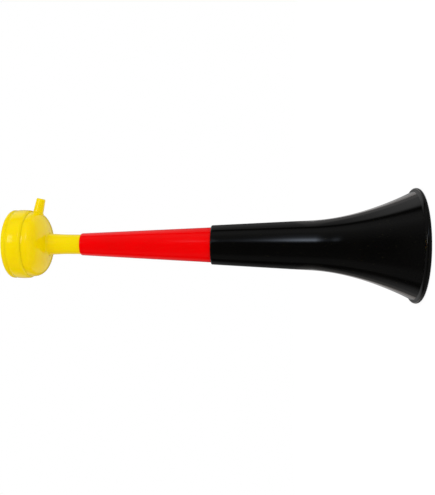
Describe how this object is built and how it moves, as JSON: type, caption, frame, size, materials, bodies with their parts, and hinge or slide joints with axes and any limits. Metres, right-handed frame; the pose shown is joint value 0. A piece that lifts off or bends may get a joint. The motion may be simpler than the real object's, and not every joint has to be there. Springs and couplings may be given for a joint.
{
  "type": "membrane fan horn",
  "caption": "Plug-together fan horn: black flared bell, red tapered tube, and yellow drum head with side blow nipple, membrane and screw cap.",
  "frame": {"origin": "centre of the bell mouth, in the plane of the rim that the horn stands on", "axes": "+Z along the bore from the bell mouth to the screw cap; +X is the side that the blow nipple points to"},
  "size_m": [0.1012, 0.1012, 0.365],
  "materials": {
    "black_plastic": "glossy moulded",
    "red_plastic": "glossy moulded",
    "yellow_plastic": "satin gloss moulded",
    "clear_film": "thin translucent film",
    "white_plastic": "plain moulded"
  },
  "bodies": {
    "bell": {"bell": "black_plastic"},
    "middle": {"middle_tube": "red_plastic"},
    "head": {"head_body": "yellow_plastic", "membrane": "clear_film"},
    "ring": {"slip_ring": "white_plastic"},
    "cap": {"screw_cap": "yellow_plastic"}
  },
  "joints": [
    {"name": "tube_slide", "type": "slide", "parent": "bell", "child": "middle", "axis": [0, 0, 1], "range_m": [0, 0.024]},
    {"name": "head_swivel", "type": "hinge", "parent": "middle", "child": "head", "pos_m": [0, 0, 0.29], "axis": [0, 0, 1], "continuous": true},
    {"name": "ring_lift", "type": "slide", "parent": "head", "child": "ring", "axis": [0, 0, 1], "range_m": [0, 0.008]},
    {"name": "cap_turn", "type": "hinge", "parent": "ring", "child": "cap", "pos_m": [0, 0, 0.352], "axis": [0, 0, 1], "range_deg": [0, 720]}
  ],
  "couplings": [
    {"joint": "ring_lift", "follows": "cap_turn", "m_per_rad": 0.00063662}
  ]
}
